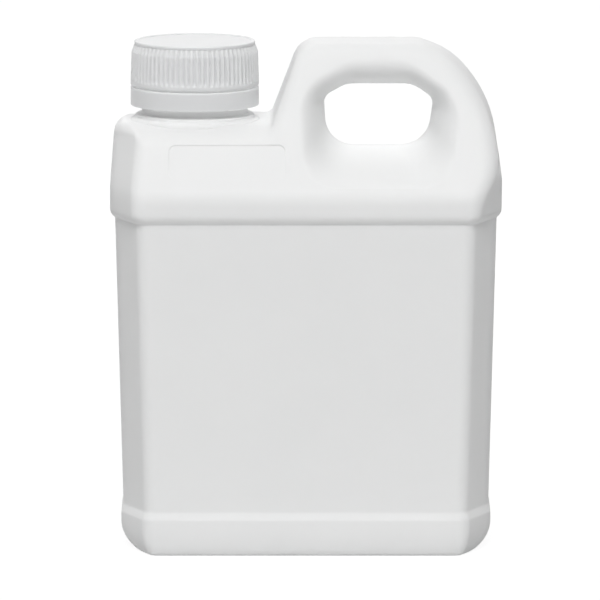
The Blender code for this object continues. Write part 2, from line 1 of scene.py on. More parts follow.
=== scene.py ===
# %% [markdown]
# # A white plastic jerrycan
#
# The object is a one-litre can with a handle, its ribbed screw cap, the ring
# that the cap leaves on the neck when it is first opened, and a foam liner in
# the cap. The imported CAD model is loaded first. It stays the frame that every
# piece here is measured from, so nothing has to be fitted by eye.

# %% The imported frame
import json
import math

import bmesh
import bpy
import numpy as np
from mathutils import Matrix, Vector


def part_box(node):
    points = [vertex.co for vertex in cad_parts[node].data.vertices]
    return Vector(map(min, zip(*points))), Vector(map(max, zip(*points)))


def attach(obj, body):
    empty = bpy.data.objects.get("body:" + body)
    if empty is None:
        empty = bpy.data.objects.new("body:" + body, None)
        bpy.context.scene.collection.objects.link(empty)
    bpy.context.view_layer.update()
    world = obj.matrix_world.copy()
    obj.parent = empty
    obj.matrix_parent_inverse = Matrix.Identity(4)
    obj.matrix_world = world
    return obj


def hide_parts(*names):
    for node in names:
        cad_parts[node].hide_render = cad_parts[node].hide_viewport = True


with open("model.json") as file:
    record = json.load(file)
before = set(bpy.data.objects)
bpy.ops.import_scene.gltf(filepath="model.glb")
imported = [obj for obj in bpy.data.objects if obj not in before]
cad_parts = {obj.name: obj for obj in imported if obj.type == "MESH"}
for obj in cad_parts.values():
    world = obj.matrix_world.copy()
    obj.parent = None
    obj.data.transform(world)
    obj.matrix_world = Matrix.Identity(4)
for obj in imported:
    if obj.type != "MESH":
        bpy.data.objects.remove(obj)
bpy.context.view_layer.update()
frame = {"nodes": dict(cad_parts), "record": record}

print("nodes:", frame["nodes"])

# %% [markdown]
# ## Sizes
#
# Lengths are in millimetres and become metres only when a mesh is made. What
# the frame can tell is read from its boxes. The rest repeats the can's form,
# and each section names the sizes that it needs.

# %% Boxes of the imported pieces
MM = 0.001


def box_mm(node):
    """A CAD node's lowest and highest corner, in millimetres."""
    return tuple(np.array(corner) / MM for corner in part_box(node))


can_low, can_high = box_mm("can_body")
cap_low, cap_high = box_mm("screw_cap")
band_low, band_high = box_mm("tamper_band")
liner_low, liner_high = box_mm("cap_liner")
HALF_WIDTH = (can_high[0] - can_low[0]) / 2
HALF_DEPTH = (can_high[1] - can_low[1]) / 2
HEIGHT = can_high[2]
NECK_X = (liner_low[0] + liner_high[0]) / 2
CAP_RADIUS = (cap_high[0] - cap_low[0]) / 2
print("half width, half depth, height, neck:", HALF_WIDTH, HALF_DEPTH, HEIGHT, NECK_X)

# %% Levels, and the rounding into the lean
SHOULDER_TOP = HEIGHT - 25.6
LEAN_START = SHOULDER_TOP - 21.6
RIDGE_BOTTOM = LEAN_START - 7.1
FOOT_TOP = 12.2
LEAN_DEGREES = 27
LEAN = math.radians(LEAN_DEGREES)
LEAN_ROUND = 10.0
LEAN_ARC = LEAN_ROUND * math.tan(LEAN / 2)
SPLIT = LEAN_START + LEAN_ARC * math.cos(LEAN)
print("lean line at", round(SPLIT, 2), "shoulder at", round(SHOULDER_TOP, 2))

# %% [markdown]
# ## Rounded paths
#
# Nearly every line on a moulded can is a row of straight runs with rounded
# corners: its outline, the finger hole, the foot's section and the cap's
# section. So one pair of helpers draws them all. Counting the points of a run
# and an arc beforehand lets several such paths be matched point by point.

# %% Helpers for rounded paths


def fillet(before, corner, after, radius, steps):
    """Arc that rounds a corner.

    Its centre lies on the corner's bisector, radius / sin(half the corner) away,
    and it turns by what the corner lacks of a straight line.
    """
    towards = (before - corner) / np.linalg.norm(before - corner)
    away = (after - corner) / np.linalg.norm(after - corner)
    half = math.acos(np.clip(towards @ away, -1, 1)) / 2
    centre = corner + (towards + away) / np.linalg.norm(towards + away) * radius / math.sin(half)
    first = corner + towards * radius / math.tan(half) - centre
    to_corner = corner - centre
    side = np.sign(first[0] * to_corner[1] - first[1] * to_corner[0])
    angle = side * (math.pi - 2 * half) * np.arange(steps + 1) / steps
    across = first[0] * np.cos(angle) - first[1] * np.sin(angle)
    up = first[0] * np.sin(angle) + first[1] * np.cos(angle)
    return centre + np.column_stack([across, up])


def open_path(corners, radii, arcs, runs):
    """A path through corners. Each inner corner is an arc, each run is cut evenly."""
    corners = np.array(corners, float)
    parts = [corners[:1]]
    for here in range(1, len(corners)):
        arc = corners[here:here + 1]
        if arcs[here]:
            arc = fillet(corners[here - 1], corners[here], corners[here + 1], radii[here], arcs[here])
        start = parts[-1][-1]
        share = np.arange(1, runs[here])[:, None] / runs[here]
        parts += [start + (arc[0] - start) * share, arc]
    return np.concatenate(parts)


def closed_path(corners, radii, steps):
    """A closed rounded polygon, every corner an arc of the same number of points."""
    corners = np.array(corners, float)
    return np.concatenate([
        fillet(corners[here - 1], corners[here], corners[(here + 1) % len(corners)], radii[here], steps)
        for here in range(len(corners))
    ])


# %% Helpers that divide a path


def even_runs(corners, spacing):
    """How many pieces each run is cut into, so that none is longer than the spacing."""
    lengths = np.linalg.norm(np.diff(np.array(corners, float), axis=0), axis=1)
    return [0] + [int(length // spacing) + 1 for length in lengths]


def distance_along(path):
    """Distance along a path to each of its points."""
    return np.concatenate([[0.0], np.cumsum(np.linalg.norm(np.diff(path, axis=0), axis=1))])


def points_along(path, distances, places):
    """Points of a path at these places, from the distances of its own points."""
    return np.column_stack([np.interp(places, distances, path[:, axis]) for axis in (0, 1)])


# %% Helpers for grids and meshes
SHARP = math.radians(35)
MERGED = 1e-6


def grid_quads(rows, columns, closed=False, start=0):
    """Corner numbers of a grid's quads; closed joins its last column to its first."""
    number = np.arange(rows * columns).reshape(rows, columns) + start
    if closed:
        number = np.hstack([number, number[:, :1]])
    quads = [number[:-1, :-1], number[:-1, 1:], number[1:, 1:], number[1:, :-1]]
    return np.stack(quads, axis=-1).reshape(-1, 4).tolist()


def smooth(mesh):
    """Smooth shading, with an edge wherever the surface turns by more than the sharp angle."""
    mesh.shade_smooth()
    mesh.set_sharp_from_angle(angle=SHARP)


def new_mesh(name, points, faces):
    """A closed mesh in metres: doubles merged, faces outward, smooth up to an angle."""
    mesh = bpy.data.meshes.new(name)
    mesh.from_pydata((np.asarray(points) * MM).tolist(), [], faces)
    work = bmesh.new()
    work.from_mesh(mesh)
    bmesh.ops.remove_doubles(work, verts=work.verts, dist=MERGED)
    bmesh.ops.dissolve_degenerate(work, edges=work.edges, dist=MERGED)
    bmesh.ops.recalc_face_normals(work, faces=work.faces)
    loose = sum(not edge.is_manifold for edge in work.edges)
    work.to_mesh(mesh)
    print(name, "faces:", len(work.faces), "open edges:", loose)
    work.free()
    smooth(mesh)
    return mesh


def new_object(name, data):
    """An object at the origin that shows a mesh, or one for a lamp or the camera."""
    made = bpy.data.objects.new(name, data)
    bpy.context.scene.collection.objects.link(made)
    return made


def painted(piece, paint):
    """Gives a piece its only material."""
    piece.data.materials.clear()
    piece.data.materials.append(paint)
    print(piece.name, "is", paint.name)


def combine(piece, other, operation):
    """Joins a mesh to a piece or cuts it out, and applies the result at once."""
    tool = new_object(other.name + "_tool", other)
    step = piece.modifiers.new(operation.lower(), "BOOLEAN")
    step.object = tool
    step.operation = operation
    step.solver = "EXACT"
    graph = bpy.context.evaluated_depsgraph_get()
    result = bpy.data.meshes.new_from_object(piece.evaluated_get(graph))
    piece.modifiers.clear()
    piece.data = result
    bpy.data.objects.remove(tool, do_unlink=True)
    print(piece.name, operation.lower(), other.name, "->", len(result.polygons), "faces")


# %% [markdown]
# ## The can's corners
#
# Seen from above, a side of the can is a flat strip, then a facet that turns
# in towards the front by about 22 degrees, then a rounding into the front
# plane. The facet keeps its slope until it is very narrow, which is why it
# runs out to a point below the handle. The whole corner is worked out for
# every column of the skin at once, from the widths of its facet and its
# rounding.

# %% Widths of the facet and of the rounding
FACET_WIDTH = 6.6
FACET_RUN = 16.5
TOP_FACET = 1.6
LEAST_FACET = 0.01
EDGE_WIDTH = 4.6
HANDLE_EDGE = 3.4
FLANK_EDGE = 6.2
FACET_SLOPE = math.atan2(FACET_WIDTH, FACET_RUN)
FADE_TOP = 13.0
FADE_HEIGHT = 20.0


def eased(share):
    """From zero to one with a level start and end: three squares less two cubes."""
    share = np.clip(share, 0, 1)
    return share * share * (3 - 2 * share)


def flank_facet(z):
    """Width of the right facet: full at the ridge, eased to nothing under the handle's flank."""
    return FACET_WIDTH * eased((LEAN_START + FADE_TOP - z) / FADE_HEIGHT)


def flank_edge(z):
    """Width of the right rounding, which grows over the ridge to the flank's."""
    return EDGE_WIDTH + (FLANK_EDGE - EDGE_WIDTH) * eased((z - RIDGE_BOTTOM) / (SPLIT - RIDGE_BOTTOM))


print("facet slope, degrees:", round(math.degrees(FACET_SLOPE), 1))

# %% Rows of a corner
SEAM = np.array([(0.0, 0.0), (0.15, 0.06), (0.5, 0.0)])
# How finely a skin is cut: spacing in millimetres, turn in degrees, then counts of rows.
FINE = {
    "spacing": 1.6, "turn": 4.0, "strip": 6, "facet": 3, "arc": 10, "scoop": 16, "front": 24,
    "seam": SEAM,
}
PLAIN = {
    "spacing": 6.0, "turn": 14.0, "strip": 2, "facet": 1, "arc": 4, "scoop": 7, "front": 10,
    "seam": SEAM[:1],
}


def corner_levels(facet, edge, depth, fine):
    """Rows from the side's middle line to the crest, for whole arrays of columns.

    Returns the share of the facet's width, the share of the rounding's width
    and the drop behind the front plane, each as (rows, columns). The rounding
    is a circle's arc that is tangent to the facet and to the front plane. The
    first rows draw the mould's parting line: how far each lies from the middle
    line, and how deep it is sunk.
    """
    slope = FACET_SLOPE * np.clip(facet / TOP_FACET, LEAST_FACET, 1)
    run = np.maximum(facet, LEAST_FACET * TOP_FACET) / np.tan(slope)
    turn = math.pi / 2 - slope
    radius = edge / np.sin(turn)
    crease = radius * (1 - np.cos(turn))
    away, sunk = fine["seam"][:, :1], fine["seam"][:, 1:]
    strip = np.linspace(0, 1, fine["strip"] + 1)[1:, None]
    slant = np.linspace(0, 1, fine["facet"] + 1)[1:, None]
    arc = turn * np.linspace(1, 0, fine["arc"] + 1)[1:, None]
    seam_sunk, nothing, whole = sunk / edge, np.zeros_like(strip * turn), np.ones_like(arc * turn)
    on_facet = np.vstack([0 * seam_sunk, nothing, slant + 0 * turn, whole])
    on_edge = np.vstack([seam_sunk, nothing, 0 * slant * turn, 1 - np.sin(arc) / np.sin(turn)])
    drop = np.vstack([
        depth - away + 0 * turn,
        depth + (run + crease - depth) * strip,
        crease + run * (1 - slant),
        radius * (1 - np.cos(arc)),
    ])
    return on_facet, on_edge, drop


print("rows of a corner:", len(corner_levels(FACET_WIDTH, np.array([EDGE_WIDTH]), HALF_DEPTH, FINE)[0]))

# %% [markdown]
# ## The lower body
#
# Below the lean line the can is a stack of rings: a pushed-up base, a rolled
# foot, a stepped foot band, a panel that widens slightly upwards, and the
# ridge. One rounded path gives the section, and every ring takes its half
# width and half depth from it, so the whole body is one grid of section by
# ring. The foot's rounding is smaller in front than at the sides.

# %% Section and rings of the lower body
FOOT_INSET = 3.4
WAIST_INSET = 4.1
BELT_INSET = 1.6
BASE_ROUND = 9.0
FRONT_ROUND = 2.0
STANDING_WIDTH = 3.0
PUSH_UP, PUSH_UP_SLOPE, PUSH_UP_ROUND = 2.2, 6.0, 2.0
STEP_BELOW, STEP_ABOVE, STEP_ROUND = 0.5, 2.0, 3.0
RIDGE_STEP, BELT_ROUND, RIDGE_ROUND = 1.6, 0.7, 4.0
LEAST_CORNER = 0.3
SMALL_TURN = 16
NEAR_CREST = 0.006


def body_section(fine):
    """Height, half width, half depth and share of the corner's width for every ring.

    The half depth is the half width less a constant, and a circle's arc where
    it starts to lean. The foot's side rounding takes the cut off the half
    width. The half depth loses only the front rounding's share of that, and the
    corner's width shrinks in step with it.
    """
    foot = HALF_WIDTH - FOOT_INSET
    standing = foot - BASE_ROUND - STANDING_WIDTH
    corners = [
        (standing - PUSH_UP_SLOPE, PUSH_UP), (standing, 0.0), (foot, 0.0), (foot, FOOT_TOP - STEP_BELOW),
        (HALF_WIDTH - WAIST_INSET, FOOT_TOP + STEP_ABOVE),
        (HALF_WIDTH - BELT_INSET, RIDGE_BOTTOM - RIDGE_STEP),
        (HALF_WIDTH, RIDGE_BOTTOM), (HALF_WIDTH, LEAN_START - LEAN_ARC),
    ]
    radii = [0, PUSH_UP_ROUND, BASE_ROUND, STEP_ROUND, STEP_ROUND, BELT_ROUND, RIDGE_ROUND, 0]
    small = max(2, int(SMALL_TURN / fine["turn"]))
    arcs = [0, small, int(90 / fine["turn"]), small, small, small, small, 0]
    half, z = open_path(corners, radii, arcs, even_runs(corners, fine["spacing"])).T
    turn = np.linspace(0, LEAN, int(LEAN_DEGREES / fine["turn"]) + 2)[1:]
    z = np.concatenate([z, LEAN_START - LEAN_ARC + LEAN_ROUND * np.sin(turn)])
    leaning = HALF_DEPTH - LEAN_ROUND * (1 - np.cos(turn))
    depth = np.concatenate([half - HALF_WIDTH + HALF_DEPTH, leaning])
    half = np.concatenate([half, np.full(len(turn), HALF_WIDTH)])
    cut = np.where(z < BASE_ROUND, np.maximum(foot - half, 0), 0)
    depth = depth + (BASE_ROUND - FRONT_ROUND) * np.minimum(cut / BASE_ROUND, 1)
    return z, half, depth, np.maximum(1 - cut / (FACET_WIDTH + EDGE_WIDTH), LEAST_CORNER)


def front_shares(fine):
    """Shares across the front, with one close to each crest that keeps the plane flat."""
    even = np.linspace(0, 1, fine["front"] + 1)[1:-1]
    return np.concatenate([[NEAR_CREST], even, [1 - NEAR_CREST]])


def lower_half(fine):
    """The front half of the body as one grid, and its lowest ring.

    A ring runs round its right corner, straight across the front and round its
    left corner. A corner's point lies inside the half width by its shares of
    the facet's and the rounding's width.
    """
    z, half, depth, share = body_section(fine)
    sides = []
    for sign, facet, edge in ((1, flank_facet(z), flank_edge(z)), (-1, FACET_WIDTH, EDGE_WIDTH)):
        on_facet, on_edge, drop = corner_levels(facet * share, edge * share, depth, fine)
        sides.append((sign * (half - facet * share * on_facet - edge * share * on_edge), depth - drop))
    (right_x, right_y), (left_x, left_y) = sides
    across = front_shares(fine)[:, None]
    middle_x = right_x[-1] + (left_x[-1] - right_x[-1]) * across
    x = np.vstack([right_x, middle_x, left_x[::-1]])
    y = np.vstack([right_y, depth + 0 * middle_x, left_y[::-1]])
    points = np.stack([x, -y, z + 0 * x], axis=-1).transpose(1, 0, 2)
    return points.reshape(-1, 3), grid_quads(*points.shape[:2]), points[0]


print("rings:", len(body_section(FINE)[0]))

# %% [markdown]
# ## The shoulder and the handle
#
# Above the lean line the front leans back as one plane up to the handle's bar.
# Three matched paths bound it: the silhouette, the crease where the facet
# ends, and the crest where the rounding meets the plane. A corner of an inner
# path sits where its two sides meet after each has moved in by its own margin.

# %% The three outline paths
HANDLE_LEFT = NECK_X + CAP_RADIUS + 13.4
NOTCH = (NECK_X + CAP_RADIUS + 4.1, SHOULDER_TOP)
LEFT_TOP = (1.4 - HALF_WIDTH, SHOULDER_TOP)
BAR_END = (HALF_WIDTH - 26.8, HEIGHT)
ARCH = (HALF_WIDTH - 16.0, HEIGHT - 4.1)
FLANK = (HALF_WIDTH - 3.6, HEIGHT - 19.7)
FLANK_FOOT = (HALF_WIDTH, SPLIT + 2.9)
# For each corner: its radius, about how far it turns, and the width of its rounding.
OUTLINE_RADII = np.array([0, 5.0, 3.0, 8.4, 10.0, 26.0, 44.0, 15.0, 0])
OUTLINE_DEGREES = np.array([0, 86, 66, 66, 21, 42, 28, 8, 0])
OUTLINE_EDGES = np.array(
    [EDGE_WIDTH] * 3 + [HANDLE_EDGE] * 2 + [EDGE_WIDTH, (EDGE_WIDTH + FLANK_EDGE) / 2] + [FLANK_EDGE] * 2
)
TIGHTEST = 1.5
PARALLEL = 1e-9


def mitred(corners, before, after):
    """Corners moved in by the margin before and after each of them, as a drawn mitre is.

    The second result is the change of each corner's radius, which is the mean
    margin: a loss where the outline turns inwards, a gain in the notch.
    """
    corners = np.array(corners, float)
    run = np.diff(corners, axis=0)
    run /= np.linalg.norm(run, axis=1, keepdims=True)
    inward = np.column_stack([run[:, 1], -run[:, 0]])
    first = np.vstack([(1.0, 0.0), inward[:-1], (-1.0, 0.0)])
    second = np.vstack([(1.0, 0.0), inward[1:], (-1.0, 0.0)])
    cosine = (first * second).sum(axis=1)
    straight = 1 - cosine * cosine < PARALLEL
    scale = np.where(straight, 1, 1 - cosine * cosine)
    on_first = np.where(straight, before / 2, (before - cosine * after) / scale)
    on_second = np.where(straight, after / 2, (after - cosine * before) / scale)
    bend = np.sign(first[:, 0] * second[:, 1] - first[:, 1] * second[:, 0])
    moved = corners + first * on_first[:, None] + second * on_second[:, None]
    return moved, bend * (before + after) / 2


def outline(fine):
    """Silhouette, crease and crest, clockwise from the left, with matched points.

    On the right the crease and the crest move in by the fading facet's width.
    """
    corners = [
        (-HALF_WIDTH, SPLIT), LEFT_TOP, NOTCH, (HANDLE_LEFT, HEIGHT), BAR_END, ARCH, FLANK, FLANK_FOOT,
        (HALF_WIDTH, SPLIT),
    ]
    arcs = [0] + [max(2, int(angle / fine["turn"])) for angle in OUTLINE_DEGREES[1:-1]] + [0]
    runs = even_runs(corners, fine["spacing"])
    before = np.array([FACET_WIDTH, FACET_WIDTH, TOP_FACET] + [0] * 6)
    after = np.array([FACET_WIDTH, TOP_FACET] + [0] * 7)
    paths = [open_path(corners, OUTLINE_RADII, arcs, runs)]
    for margin in (0, OUTLINE_EDGES):
        moved, more = mitred(corners, before + margin, after + margin)
        paths.append(open_path(moved, np.maximum(OUTLINE_RADII + more, TIGHTEST), arcs, runs))
    fading = flank_facet(paths[0][:, 1]) * (paths[0][:, 0] > 0)
    for path in paths[1:]:
        path[:, 0] -= fading
    return paths


print("outline points:", len(outline(FINE)[0]))

# %% [markdown]
# The finger hole is a box whose two top corners are cut, with leaning sides.
# Round it the plane is scooped out down to the hole's rim, which lies in the
# middle of the handle. The scoop's outer edge keeps its own distance from
# each edge of the hole. It is widest above and below the hole and narrowest
# at the cut corner on the right.

# %% The finger hole and the scoop's edge
LEG_WIDTH = 7.6
GRIP_WIDTH = 22.0
BAR_THICKNESS = 14.0
HOLE_HEIGHT = 20.5
LEFT_LEAN, RIGHT_LEAN = 1.1, 2.2
LEFT_CUT, RIGHT_CUT = 0.21, 0.19
LEFT_CUT_DROP, RIGHT_CUT_DROP = 4.0, 4.7
HOLE_RADII = [9.5, 4.0, 9.0, 10.0, 4.0, 10.0]
SCOOP_MARGINS = [8.3, 8.2, 9.9, 7.2, 9.5, 9.7]
SCOOP_RADII = [12.0, 13.0, 13.0, 15.0, 14.0, 13.0]


def hole_corners():
    """The hole's corners, clockwise from the lower left. A cut is a share of the hole's width."""
    left, right = HANDLE_LEFT + LEG_WIDTH, HALF_WIDTH - GRIP_WIDTH
    top = HEIGHT - BAR_THICKNESS
    bottom = top - HOLE_HEIGHT
    return np.array([
        (left + LEFT_LEAN, bottom), (left, top - LEFT_CUT_DROP), (left + LEFT_CUT * (right - left), top),
        (right - RIGHT_CUT * (right - left), top), (right, top - RIGHT_CUT_DROP),
        (right - RIGHT_LEAN, bottom),
    ])


def scoop_corners():
    """Corners of the scoop's edge, where neighbouring edges meet once each has moved out.

    Each edge of the hole moves out by its margin. The share along an edge at
    which the next one crosses it is a quotient of two cross products.
    """
    at = hole_corners()
    run = np.roll(at, -1, axis=0) - at
    run /= np.linalg.norm(run, axis=1, keepdims=True)
    moved = at + np.column_stack([-run[:, 1], run[:, 0]]) * np.array(SCOOP_MARGINS)[:, None]
    last_run, last = np.roll(run, 1, axis=0), np.roll(moved, 1, axis=0)
    back = moved - last
    turn = last_run[:, 0] * run[:, 1] - last_run[:, 1] * run[:, 0]
    share = (back[:, 0] * run[:, 1] - back[:, 1] * run[:, 0]) / turn
    return last + last_run * share[:, None]


print("hole:", hole_corners().round(1).tolist())
print("scoop:", scoop_corners().round(1).tolist())

# %% [markdown]
# The grid's columns run from the outline to the scoop. Each outline point
# looks at a point of the scoop's edge: round the handle the nearest one, and
# on the shoulder one that shares the plane out without crossing columns. The
# fan below gives those as steps from the scoop's lower corners. The scoop
# itself is a quarter of an ellipse that is flattened between its ends: the way
# in goes as one minus a power of the cosine, and the depth as the same power
# of the sine. So it leaves the plane without an edge and meets the other
# half's scoop squarely at the rim.

# %% The upper half
BOWL_POWER = 1.12
FAN = np.array([(5.3, 0.5), (1.3, 2.7), (-0.6, 5.5), (-1.5, 11.6), (-2.4, 1.5)])
LOOP_STEPS = 60
LOOP_MARKS = 2000
HANDLE_LOOKS = 22
HOLD_WIDTH, HOLD_SHARE = 0.6, 0.3


def half_depth(z):
    """Half the can's depth on the leaning plane at height z."""
    return HALF_DEPTH - math.tan(LEAN) * (z - LEAN_START)


def placed(flat, depth):
    """Points of the front half from their place in the front view and their depth."""
    return np.stack([flat[..., 0], -depth, flat[..., 1]], axis=-1)


def seen_from(outer, crest, scoop, lap):
    """For every outline point, the distance round the scoop's edge that it looks at.

    It is settled at a few points, grows evenly with the outline's length in
    between, and never turns back.
    """
    marks = np.linspace(0, lap[-1], LOOP_MARKS, endpoint=False)
    dense = points_along(scoop, lap, marks)

    def nearest(place):
        return marks[np.argmin(np.linalg.norm(dense - place, axis=1))]

    def column(place):
        return int(np.argmin(np.linalg.norm(outer - place, axis=1)))

    lower_left, lower_right = scoop_corners()[0], scoop_corners()[-1]
    looks = {
        0: nearest(lower_left + FAN[0]),
        column(LEFT_TOP): nearest(lower_left + FAN[1]),
        column((NECK_X, SHOULDER_TOP)): nearest(lower_left + FAN[2]),
        column(NOTCH): nearest(lower_left + FAN[3]),
        len(outer) - 1: nearest(lower_right + FAN[4]),
    }
    for here in np.linspace(column(NOTCH), column(FLANK), HANDLE_LOOKS).astype(int)[2:]:
        looks[int(here)] = nearest(crest[here])
    order = sorted(looks)
    start = looks[order[0]]
    targets = np.maximum.accumulate([looks[at] + lap[-1] * (looks[at] < start) for at in order])
    length = distance_along(outer)
    return np.interp(length, length[order], targets)


def upper_half(fine):
    """The front half above the lean line: a corner grid, and a closed grid of plane and scoop.

    A row close to each border of the plane keeps it flat there.
    """
    outer, crease, crest = outline(fine)
    scoop = closed_path(scoop_corners(), SCOOP_RADII, LOOP_STEPS)
    hole = closed_path(hole_corners(), HOLE_RADII, LOOP_STEPS)
    scoop, hole = (np.vstack([path, path[:1]]) for path in (scoop, hole))
    lap = distance_along(scoop)
    facet = np.linalg.norm(crease - outer, axis=1)
    edge = np.linalg.norm(crest - crease, axis=1)
    on_facet, on_edge, drop = corner_levels(facet, edge, half_depth(outer[:, 1]), fine)
    flat = outer + (crease - outer) * on_facet[..., None] + (crest - crease) * on_edge[..., None]
    corner = placed(flat, half_depth(flat[..., 1]) - drop)

    look = seen_from(outer, crest, scoop, lap)
    across = front_shares(fine)
    bottom = crest[-1] + (crest[0] - crest[-1]) * across[:, None]
    look = np.concatenate([look, look[-1] + across * (look[0] + lap[-1] - look[-1])]) % lap[-1]
    border = np.vstack([crest, bottom])
    lip, rim = points_along(scoop, lap, look), points_along(hole, lap, look)
    reach = np.linalg.norm(lip - border, axis=1)
    hold = np.minimum(HOLD_WIDTH, HOLD_SHARE * reach)[:, None] / reach[:, None]
    plane = np.stack([border, border + (lip - border) * hold, lip + (border - lip) * hold])
    angle = np.linspace(math.pi / 2, 0, fine["scoop"] + 1)[:, None]
    bowl = rim + (lip - rim) * (1 - np.cos(angle) ** BOWL_POWER)[..., None]
    bowl_depth = half_depth(bowl[..., 1]) * np.sin(angle) ** BOWL_POWER
    inside = np.concatenate([placed(plane, half_depth(plane[..., 1])), placed(bowl, bowl_depth)])
    faces = grid_quads(*corner.shape[:2])
    faces += grid_quads(*inside.shape[:2], closed=True, start=corner.shape[0] * corner.shape[1])
    return np.concatenate([corner.reshape(-1, 3), inside.reshape(-1, 3)]), faces


def can_skin(name, fine):
    """The can's closed outer form without its neck: both halves, and the base's middle."""
    upper, upper_faces = upper_half(fine)
    lower, lower_faces, floor = lower_half(fine)
    points, faces, count = [], [], 0
    for side in (1, -1):
        for part, quads in ((upper, upper_faces), (lower, lower_faces)):
            points.append(part * (1, side, 1))
            faces += (np.array(quads) + count).tolist()
            count += len(part)
    points.append(np.vstack([floor, floor[-2:0:-1] * (1, -1, 1)]))
    faces.append(list(range(count, count + len(points[-1]))))
    return new_mesh(name, np.concatenate(points), faces)


can = new_object("can", can_skin("can_skin", FINE))

# %% [markdown]
# ## The neck
#
# The neck is blown with the can, and its thread is formed by the same halves
# of the mould. It is drawn as a radius over height and angle: a turned
# section, plus the thread wherever the height is near the helix. A thread
# that is a hill on one grid needs no joining, and runs out softly.

# %% Section and thread of the neck
TOUCH_GAP = 0.3
RUNNING_GAP = 0.35
CAP_WALL = 1.95
BAND_HEIGHT = 6.0
THREAD_HEIGHT = 1.3
THREAD_BURIED = 0.4
THREAD_CREST = 0.9
NECK_THREAD_ROOT = 2.4
CAP_THREAD_ROOT = 1.7
PITCH = 4.2
TURNS = 1.25
RUN_OUT = 0.09
CAP_INSIDE = CAP_RADIUS - CAP_WALL
NECK_RADIUS = CAP_INSIDE - RUNNING_GAP - THREAD_HEIGHT
PLINTH_RADIUS = NECK_RADIUS + 2.0
PAD_RADIUS = PLINTH_RADIUS + 1.8
PLINTH_TOP = SHOULDER_TOP + 1.8
NECK_TOP = liner_low[2] - TOUCH_GAP
CATCH_TOP = band_low[2] + BAND_HEIGHT - TOUCH_GAP
CATCH_HEIGHT = 1.9
CAP_THREAD_START = cap_low[2] + 1.3
THREAD_FLANK = (NECK_THREAD_ROOT - THREAD_CREST) / 2 / (THREAD_HEIGHT + THREAD_BURIED)
THREAD_SEAT = THREAD_CREST + THREAD_FLANK * (THREAD_HEIGHT - RUNNING_GAP) + RUNNING_GAP
NECK_THREAD_START = CAP_THREAD_START + THREAD_SEAT
print("neck radius", round(NECK_RADIUS, 2), "and its thread starts at", round(NECK_THREAD_START, 2))


def thread_height(angle, z, start, root):
    """Height of a thread over a turned wall.

    The helix rises by one pitch a turn. A hill of trapezium section follows it,
    and at each end its height goes as the square root of the way along the
    run-out, which is given in turns. The root is as wide as the CAD thread's,
    which lies buried in the wall.
    """
    total = np.zeros(np.broadcast(angle, z).shape)
    whole = THREAD_HEIGHT + THREAD_BURIED
    half_crest = THREAD_CREST / 2
    half_root = root / 2 * THREAD_HEIGHT / whole + half_crest * THREAD_BURIED / whole
    for lap in range(math.ceil(TURNS)):
        turn = angle / (2 * math.pi) + lap
        away = np.abs(z - start - PITCH * turn)
        hill = np.clip((half_root - away) / (half_root - half_crest), 0, 1)
        ends = np.clip(np.minimum(turn, TURNS - turn) / RUN_OUT, 0, 1)
        total = np.maximum(total, THREAD_HEIGHT * hill * np.sqrt(ends))
    return total


def turned_mesh(name, section, steps, change=None, ring=False):
    """A closed form: a section [(radius, height), ...] turned about the neck's axis.

    A change is added to the radius. A section that starts and ends on the axis
    closes at its poles. A ring's last row is joined to its first.
    """
    angles = np.arange(steps) * 2 * math.pi / steps
    radius, z = section[:, :1], section[:, 1:]
    radius = radius + (0 * angles if change is None else change(angles, radius, z))
    grid = np.stack([NECK_X + radius * np.cos(angles), radius * np.sin(angles), z + 0 * radius], axis=-1)
    faces = grid_quads(*grid.shape[:2], closed=True)
    if ring:
        first, last = np.arange(steps), np.arange(steps) + (len(section) - 1) * steps
        faces += np.column_stack([last, np.roll(last, -1), np.roll(first, -1), first]).tolist()
    return new_mesh(name, grid.reshape(-1, 3), faces)


# %% The neck's outside
WALL = 1.2
COLLAR_DEPTH = 1.5
PAD_EDGE, PAD_TOP = SHOULDER_TOP + 0.3, SHOULDER_TOP + 0.9
CATCH_LEDGE, CATCH_LAND = 0.1, 0.8
NECK_SPACING = 0.35
RUNS_TO_AXIS = 2
ROUND_STEPS = 240
ON_WALL = 0.01


def neck_section():
    """The neck's outside, from its foot inside the shoulder up to the axis over its mouth."""
    foot = SHOULDER_TOP - WALL - COLLAR_DEPTH
    crest = NECK_RADIUS + THREAD_HEIGHT
    catch = CATCH_TOP - CATCH_HEIGHT
    corners = [
        (0, foot), (PAD_RADIUS, foot), (PAD_RADIUS, PAD_EDGE),
        (PLINTH_RADIUS, PAD_TOP), (PLINTH_RADIUS, PLINTH_TOP), (NECK_RADIUS, PLINTH_TOP),
        (NECK_RADIUS, catch), (crest, catch + CATCH_LEDGE), (crest, catch + CATCH_LAND),
        (NECK_RADIUS, CATCH_TOP), (NECK_RADIUS, NECK_TOP), (0, NECK_TOP),
    ]
    radii = [0, 0.1, 1.1, 0.5, 0.4, 0.5, 0.3, 0.2, 0.25, 0.5, 0.6, 0]
    arcs = [0, 1, 4, 4, 5, 4, 3, 3, 3, 3, 6, 0]
    runs = even_runs(corners, NECK_SPACING)
    runs[1] = runs[-1] = RUNS_TO_AXIS
    return open_path(corners, radii, arcs, runs)


def neck_change(angles, radius, z):
    """Only the wall above the catch carries the thread."""
    wall = (np.abs(radius - NECK_RADIUS) < ON_WALL) & (z > CATCH_TOP)
    return np.where(wall, thread_height(angles, z, NECK_THREAD_START, NECK_THREAD_ROOT), 0)


combine(can, turned_mesh("neck_form", neck_section(), ROUND_STEPS, neck_change), "UNION")

# %% [markdown]
# ## The label panel and the pinch-off
#
# The shoulder has a shallow panel for a label. Its floor leans a little less
# than the shoulder, so the step is deepest along its top edge and runs out
# below. On the underside the mould pinches the tube of plastic shut, which
# leaves a low weld line along the parting plane.

